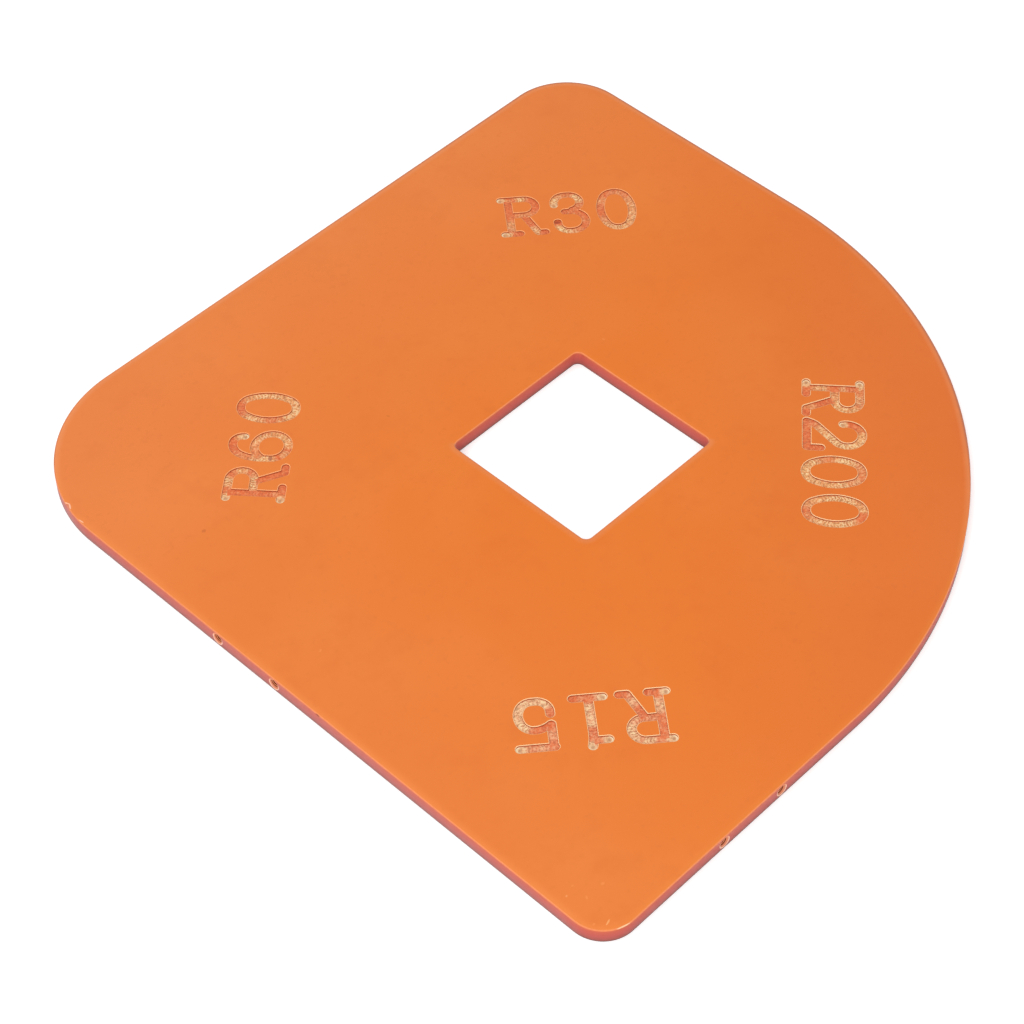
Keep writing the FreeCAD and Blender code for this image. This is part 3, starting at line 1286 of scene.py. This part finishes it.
def add_wear_and_painted_light(tree, groups, surface, place, colour):
    """Lay the wear, with the painted highlight and shade of the table, that lies on a surface over its
    colour.
    """
    for surfaces, spot, turn, half_length, half_width, raggedness, share, tint in WEAR_AND_PAINTED_LIGHT:
        if surface not in surfaces:
            continue
        mask = use_group(
            tree,
            groups["spot"],
            Vector=place,
            Place=tuple(value * MM for value in spot),
            Turn=-math.radians(turn),
            Half_Length=half_length * MM,
            Half_Width=half_width * MM,
            Raggedness=raggedness,
        )["Mask"]
        colour = blend(tree, combined(tree, "MULTIPLY", mask, share), colour, tint)
    return colour


# Finishes


def build_face_finish(colours, groups):
    """Moulded orange face: cloudy satin, darker to the front right as painted shade and paler to the
    back left as a painted sheen.
    """
    tree, place = start_finish("moulded_face")
    clouds = use_group(
        tree,
        groups["clouds"],
        Vector=place,
        Colour=solid(colours.face),
        Light=(0.838, 0.222, 0.033, 1.0),
        Deep=(0.765, 0.170, 0.017, 1.0),
        Cloud_Scale=70.0,
        Amount=0.5,
    )
    x, y, _ = axes(tree, place)
    # Painted shade: darker towards the front right
    deep = remap(tree, combined(tree, "SUBTRACT", x, y), 0.05, 0.30, 0.0, 0.55)
    colour = blend(tree, deep, clouds["Colour"], (0.680, 0.130, 0.034))
    # Painted pale sheen towards the back and the left
    back = remap(tree, y, 0.03, 0.17, 0.0, 0.042)
    left = remap(tree, x, -0.06, -0.17, 0.0, 0.022)
    colour = blend(tree, combined(tree, "ADD", back, left), colour, (0.95, 0.72, 0.58))
    grain = use_group(tree, groups["grain"], Vector=place, Grain_Scale=1300.0)
    rubbed = remap(tree, noted(tree, "rubbed"), 0.3, 1.0, 0.0, 0.25)
    rubbed = combined(tree, "MULTIPLY", rubbed, outer_share(tree, place))
    colour = blend(tree, rubbed, colour, (0.900, 0.285, 0.050))
    # Along the upper edge: a faint painted sheen where it turns a little from the front left, and
    # painted shade where it faces right and back
    edge_shade = noted(tree, "edge_shade")
    colour = blend(tree, remap(tree, edge_shade, 0.2, 0.6, 0.0, 0.10), colour, (0.92, 0.52, 0.36))
    colour = blend(tree, remap(tree, edge_shade, 0.72, 0.95, 0.0, 0.75), colour, (0.48, 0.16, 0.090))
    specks = combined(tree, "MULTIPLY", grain["Specks"], 0.10)
    colour = blend(tree, specks, colour, (0.60, 0.13, 0.03))
    colour = add_wear_and_painted_light(tree, groups, "face", place, colour)
    rough = (clouds["Mask"], 0.36, 0.50)
    end_finish(tree, colour, 0.25, rough, grain["Height"], (0.00002, 0.35))


def build_edge_finish(colours, groups):
    """Milled edge: redder than the face, darker towards the underside with a painted contact shadow at
    its foot, and a painted pale reflection on the outer edges.
    """
    tree, place = start_finish("milled_edge")
    x, y, z = axes(tree, place)
    height = remap(tree, z, 0.0, PLATE_THICK)
    ramp = add_node(tree, "ShaderNodeValToRGB", {0: height})
    # Darker towards the underside; the lowest stop is a painted contact shadow along the foot
    tints = (
        (0.0, (0.12, 0.07, 0.07)),
        (0.13, colours.edge_foot),
        (0.45, (0.585, 0.108, 0.090)),
        (0.80, colours.edge_top),
        (1.0, (0.780, 0.185, 0.070)),
    )
    stops = ramp.color_ramp.elements
    for reach, _ in tints[1:-1]:
        stops.new(reach)
    for stop, (_, tint) in zip(stops, tints):
        stop.color = solid(tint)
    # Painted pale reflection on the outer edges: strongest near the floor, at the back and on the left,
    # weakest at the front left corner
    back_reflection = remap(tree, y, 0.112, 0.135, 0.0, 2.0)
    pale_reflection = combined(
        tree,
        "MULTIPLY",
        outer_share(tree, place),
        remap(tree, height, 0.0, 1.0, 0.165, 0.05),
        remap(tree, x, -0.150, -0.168, 0.45, 1.0),
        combined(tree, "ADD", back_reflection, 1.0),
        remap(tree, combined(tree, "MAXIMUM", x, y), -0.150, -0.160, 1.0, 0.1),
    )
    colour = blend(tree, pale_reflection, ramp.outputs[0], (0.60, 0.44, 0.42))
    streaks = use_group(
        tree, groups["grain"], Vector=place, Grain_Scale=420.0, Stretch=(1.0, 1.0, 5.0)
    )["Height"]
    streaked = remap(tree, streaks, 0.45, 0.7, 0.0, 0.14)
    colour = blend(tree, streaked, colour, (0.46, 0.08, 0.05))
    colour = add_wear_and_painted_light(tree, groups, "edge", place, colour)
    end_finish(tree, colour, 0.2, (streaks, 0.42, 0.6), streaks, (0.00004, 0.4))


def build_arris_finish(colours, groups):
    """Broken edge: a bright line, paler than the face partly from wear and partly as a painted
    highlight, with small breaks in its grain, painted shade where it faces right and back, and a
    painted contact shadow on the lower edge.
    """
    tree, place = start_finish("broken_arris")
    colour, height = grained(
        tree, groups, place, 700.0, 0.35, 0.75, 0.35, colours.arris, (0.76, 0.19, 0.06)
    )
    # Painted contact shadow on the lower broken edge
    under = remap(tree, axes(tree, place)[2], 0.0015, 0.0008)
    colour = blend(tree, under, colour, (0.12, 0.07, 0.07))
    # Painted shade where the edge faces right and back
    shade_strength = remap(tree, noted(tree, "edge_shade"), 0.4, 1.0, 0.0, 0.85)
    colour = blend(tree, shade_strength, colour, (0.45, 0.16, 0.095))
    colour = add_wear_and_painted_light(tree, groups, "arris", place, colour)
    end_finish(tree, colour, 0.3, (height, 0.34, 0.5), height, (0.00003, 0.3))


def cutter_arcs(tree, place):
    """The cutter's bowed arcs across a line, as a value from 0 to 1, and how clear they are."""
    travel = add_node(tree, "ShaderNodeUVMap", uv_map="cutter_travel").outputs[0]
    along, aside, _ = axes(tree, travel)
    bow = combined(tree, "MULTIPLY", aside, aside, 260.0)
    arc_pitch = 1.3 * MM
    bowed = combined(tree, "ADD", along, bow)
    turns = combined(tree, "MULTIPLY", bowed, math.tau / arc_pitch)
    wander = combined(tree, "MULTIPLY", noise(tree, place, 650.0, 3.0, 0.6), 13.0)
    wave = combined(tree, "SINE", combined(tree, "ADD", turns, wander), 0.0)
    clear = remap(tree, noise(tree, place, 130.0, 1.0, 0.5), 0.42, 0.60, 0.25, 1.0)
    return remap(tree, wave, -1.0, 1.0), clear


# Tones on the engraved floor, the cutter's arcs and specks with painted shade in their low parts and a
# painted highlight on their high parts: range of the arcs, of the specks and of their strength from the
# red layer to the pale core, and their colour on each

FLOOR_MARK_SHADE_AND_HIGHLIGHT = (
    ((0.32, 0.05), (0.48, 0.40), (0.0, 0.8, 0.45, 0.72), (0.44, 0.09, 0.050), (0.42, 0.21, 0.085)),
    ((0.60, 0.92), (0.53, 0.62), (0.1, 0.9, 0.30, 0.80), (0.93, 0.36, 0.20), (1.00, 0.82, 0.46)),
)


def build_floor_finish(colours, groups):
    """Engraved floor: red layer and pale core in turns, speckled, with the cutter's arcs across it, and
    painted shade and highlight on the arcs and specks.
    """
    tree, place = start_finish("cut_floor")
    arcs, clear = cutter_arcs(tree, place)
    patch = remap(tree, noise(tree, place, 620.0, 3.0, 0.6), 0.3, 0.7, -0.22, 0.22)
    share = remap(tree, combined(tree, "ADD", noted(tree, "bare_core"), patch), 0.0, 1.0)
    smallest_mark = (-0.1004, -0.0991, 0.0063)
    from_mark = vector_step(tree, "DISTANCE", place, smallest_mark)["Value"]
    rosy = remap(tree, from_mark, 0.060, 0.040, 0.0, 0.8)
    core = blend(tree, rosy, colours.cut_pale, (0.870, 0.490, 0.290))
    colour = blend(tree, share, colours.cut_red, core)
    speckle = noise(tree, place, 1050.0, 2.0, 0.7)
    for arc_range, speck_range, strength, red_tint, pale_tint in FLOOR_MARK_SHADE_AND_HIGHLIGHT:
        in_arcs = combined(tree, "MULTIPLY", remap(tree, arcs, *arc_range), clear)
        tone = combined(tree, "MAXIMUM", in_arcs, remap(tree, speckle, *speck_range))
        tone = combined(tree, "MULTIPLY", tone, remap(tree, share, *strength))
        colour = blend(tree, tone, colour, blend(tree, share, red_tint, pale_tint))
    colour = add_plunge(tree, colour)
    colour = add_wear_and_painted_light(tree, groups, "floor", place, colour)
    height = combined(tree, "ADD", combined(tree, "MULTIPLY", arcs, clear), speckle)
    end_finish(tree, colour, 0.2, (speckle, 0.5, 0.75), height, (0.00010, 0.6))


def add_plunge(tree, colour):
    """Where the cutter went down: buff, with a small dull middle and a cream crescent outwards."""
    offset = add_node(tree, "ShaderNodeUVMap", uv_map="plunge_offset").outputs[0]
    reach = vector_step(tree, "LENGTH", offset)["Value"]
    colour = blend(tree, remap(tree, reach, 1.15, 0.90, 0.0, 0.50), colour, (0.82, 0.43, 0.22))
    colour = blend(tree, remap(tree, reach, 0.48, 0.20, 0.0, 0.60), colour, (0.42, 0.23, 0.13))
    crescent = combined(
        tree,
        "MULTIPLY",
        remap(tree, reach, 0.45, 0.70),
        remap(tree, reach, 1.15, 1.00),
        remap(tree, axes(tree, offset)[0], -0.3, 0.4, 0.10, 1.00),
    )
    return blend(tree, crescent, colour, (1.00, 0.88, 0.58))


def build_wall_finish(colours, groups):
    """Wall of the engraving: dark red, darkened further as painted shade, streaked."""
    tree, place = start_finish("cut_wall")
    colour, height = grained(
        tree, groups, place, 1100.0, 0.35, 0.7, 1.0, (0.36, 0.06, 0.02), (0.52, 0.12, 0.045)
    )
    end_finish(tree, colour, 0.2, (height, 0.5, 0.7), height, (0.00003, 0.3))


def build_rim_finish(colours, groups):
    """Rim of the engraving: pale where the face has been cut through, more orange at the back."""
    tree, place = start_finish("cut_rim")
    back = remap(tree, axes(tree, place)[1], 0.0, 0.06, 0.0, 0.9)
    rim = blend(tree, back, colours.cut_rim, (1.00, 0.41, 0.16))
    colour, height = grained(
        tree, groups, place, 500.0, 0.45, 0.75, 0.4, rim, (0.92, 0.36, 0.13)
    )
    end_finish(tree, colour, 0.3, (height, 0.4, 0.6), height, (0.00003, 0.3))


def build_bore_finish(colours, groups):
    """Tapped bore: a painted highlight on the crests and painted shade in the grooves."""
    tree, place = start_finish("tapped_bore")
    groove = remap(tree, noted(tree, "thread_depth"), 0.15, 0.75)
    # Painted highlight on the crests, painted shade in the grooves
    thread = blend(tree, groove, (1.000, 0.380, 0.170), colours.bore)
    colour, height = grained(
        tree, groups, place, 900.0, 0.45, 0.75, 0.3, thread, (0.50, 0.15, 0.06)
    )
    end_finish(tree, colour, 0.1, (height, 0.4, 0.65), height, (0.00004, 0.4))


def build_sink_finish(colours, groups):
    """Countersink: an orange cone inside a pale burnished ring."""
    tree, place = start_finish("burnished_sink")
    x, y, z = axes(tree, place)
    out = combined(
        tree,
        "MAXIMUM",
        combined(tree, "ABSOLUTE", x, 0.0),
        combined(tree, "ABSOLUTE", y, 0.0),
    )
    half = PLATE_SIDE / 2
    ring = remap(tree, out, half - 0.16 * MM, half - 0.08 * MM)
    pale = blend(tree, remap(tree, z, 0.0040, 0.0050), (1.00, 0.60, 0.42), (0.95, 0.33, 0.15))
    cone = blend(tree, ring, (0.780, 0.260, 0.130), pale)
    colour, height = grained(
        tree, groups, place, 900.0, 0.45, 0.75, 0.4, cone, (0.72, 0.24, 0.11)
    )
    end_finish(tree, colour, 0.3, (height, 0.3, 0.5), height, (0.00003, 0.3))


class TEMPLATE_OT_finishes(bpy.types.Operator):
    """Give every surface of the plate its finish"""

    bl_idname = "template.finishes"
    bl_label = "Laminate Finishes"
    bl_options = {"REGISTER", "UNDO"}

    def execute(self, context):
        colours = context.scene.template_colours
        groups = {
            "clouds": build_clouds_group(),
            "grain": build_grain_group(),
            "spot": build_spot_group(),
        }
        finishes = (
            build_face_finish,
            build_edge_finish,
            build_arris_finish,
            build_floor_finish,
            build_wall_finish,
            build_rim_finish,
            build_bore_finish,
            build_sink_finish,
        )
        for build_finish in finishes:
            build_finish(colours, groups)
        plate = bpy.data.objects[PLATE]
        take(plate)
        bpy.ops.object.material_slot_remove_unused()
        bpy.ops.object.shade_smooth_by_angle(angle=math.radians(30.0))
        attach(plate, "root")
        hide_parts("template_plate")
        return {"FINISHED"}


# Stage


def add_lamp(name, place, aim, width, power):
    """A square soft lamp that points at a place."""
    lamp_data = bpy.data.lights.new(name, "AREA")
    lamp_data.shape = "SQUARE"
    lamp_data.size = width
    lamp_data.energy = power
    lamp = bpy.data.objects.new(name, lamp_data)
    bpy.context.scene.collection.objects.link(lamp)
    lamp.location = place
    lamp.rotation_euler = (Vector(aim) - Vector(place)).to_track_quat("-Z", "Y").to_euler()


class TEMPLATE_OT_stage(bpy.types.Operator):
    """Lay the floor, hang the lamps and set up the camera"""

    bl_idname = "template.stage"
    bl_label = "Studio Stage"
    bl_options = {"REGISTER", "UNDO"}

    def execute(self, context):
        sizes = context.scene.template_stage_sizes
        self.lay_floor(sizes)
        self.light_room(context)
        camera_data = bpy.data.cameras.new("camera")
        camera_data.sensor_width = 36.0
        camera_data.lens = sizes.camera_lens
        camera_data.clip_start = 0.05
        camera_data.clip_end = 60.0
        camera = bpy.data.objects.new("camera", camera_data)
        context.scene.collection.objects.link(camera)
        camera.location = sizes.camera_place
        camera.rotation_euler = sizes.camera_turn
        context.scene.camera = camera
        context.scene.view_settings.view_transform = "Standard"
        return {"FINISHED"}

    def lay_floor(self, sizes):
        """A pale floor that goes white to the camera but keeps the plate's shadow."""
        leave_edit()
        bpy.ops.object.select_all(action="DESELECT")
        bpy.ops.mesh.primitive_plane_add(size=sizes.floor_side, location=(0.0, 0.0, 0.0))
        floor = bpy.context.view_layer.objects.active
        floor.name = "stage_floor"
        pale = bpy.data.materials.new("pale_floor")
        pale.use_nodes = True
        tree = pale.node_tree
        tree.nodes.clear()
        matte = add_node(tree, "ShaderNodeBsdfDiffuse", {"Color": solid(sizes.floor_colour)})
        path = add_node(tree, "ShaderNodeLightPath").outputs
        seen = combined(tree, "MAXIMUM", path["Is Camera Ray"], path["Is Glossy Ray"])
        strength = combined(tree, "MULTIPLY", seen, 0.36)
        glow = add_node(tree, "ShaderNodeEmission", {"Strength": strength})
        inputs = {0: matte.outputs[0], 1: glow.outputs[0]}
        both = add_node(tree, "ShaderNodeAddShader", inputs)
        clear = add_node(tree, "ShaderNodeBsdfTransparent")
        back = add_node(tree, "ShaderNodeNewGeometry").outputs["Backfacing"]
        inputs = {0: back, 1: both.outputs[0], 2: clear.outputs[0]}
        one_way = add_node(tree, "ShaderNodeMixShader", inputs)
        add_node(tree, "ShaderNodeOutputMaterial", {"Surface": one_way.outputs[0]})
        lay_out(tree)
        floor.data.materials.append(pale)

    def light_room(self, context):
        """Even room light with one broad soft lamp overhead and one from the left."""
        world = bpy.data.worlds.new("room")
        context.scene.world = world
        world.use_nodes = True
        tree = world.node_tree
        tree.nodes.clear()
        white = (1.0, 1.0, 1.0, 1.0)
        room = add_node(tree, "ShaderNodeBackground", {"Color": white, "Strength": 0.62})
        backdrop = add_node(tree, "ShaderNodeBackground", {"Color": white, "Strength": 1.0})
        seen = add_node(tree, "ShaderNodeLightPath").outputs["Is Camera Ray"]
        inputs = {0: seen, 1: room.outputs[0], 2: backdrop.outputs[0]}
        choice = add_node(tree, "ShaderNodeMixShader", inputs)
        add_node(tree, "ShaderNodeOutputWorld", {"Surface": choice.outputs[0]})
        lay_out(tree)
        middle = (0.0, 0.0, 0.0)
        add_lamp("overhead_lamp", (-0.3, 0.5, 2.2), middle, 1.8, 15.0)
        add_lamp("left_lamp", (-1.1, -0.8, 0.95), middle, 0.9, 8.0)


class TEMPLATE_PT_sidebar(bpy.types.Panel):
    """Buttons that build the template, in order"""

    bl_idname = "TEMPLATE_PT_sidebar"
    bl_label = "Corner Radius Template"
    bl_space_type = "VIEW_3D"
    bl_region_type = "UI"
    bl_category = "Template"

    def draw(self, context):
        column = self.layout.column(align=True)
        for step in ("plate", "radius_marks", "edge_holes", "finishes", "stage"):
            column.operator("template." + step)


CLASSES = (
    TemplatePlateSizes,
    TemplateHoleSizes,
    TemplateMarkSizes,
    TemplateFinishColours,
    TemplateStageSizes,
    TEMPLATE_OT_plate,
    TEMPLATE_OT_edge_holes,
    TEMPLATE_OT_radius_marks,
    TEMPLATE_OT_finishes,
    TEMPLATE_OT_stage,
    TEMPLATE_PT_sidebar,
)

SETTINGS = {
    "template_plate_sizes": TemplatePlateSizes,
    "template_hole_sizes": TemplateHoleSizes,
    "template_mark_sizes": TemplateMarkSizes,
    "template_colours": TemplateFinishColours,
    "template_stage_sizes": TemplateStageSizes,
}


def register():
    """Register the classes and hang the settings on the scene."""
    for entry in CLASSES:
        bpy.utils.register_class(entry)
    for name, group in SETTINGS.items():
        setattr(bpy.types.Scene, name, bpy.props.PointerProperty(type=group))


def unregister():
    """Undo register."""
    for name in SETTINGS:
        delattr(bpy.types.Scene, name)
    for entry in reversed(CLASSES):
        bpy.utils.unregister_class(entry)


def main():
    """Build the template."""
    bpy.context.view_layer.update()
    register()
    bpy.ops.template.plate()
    bpy.ops.template.radius_marks()
    bpy.ops.template.edge_holes()
    bpy.ops.template.finishes()
    bpy.ops.template.stage()


if __name__ == "__main__":
    main()
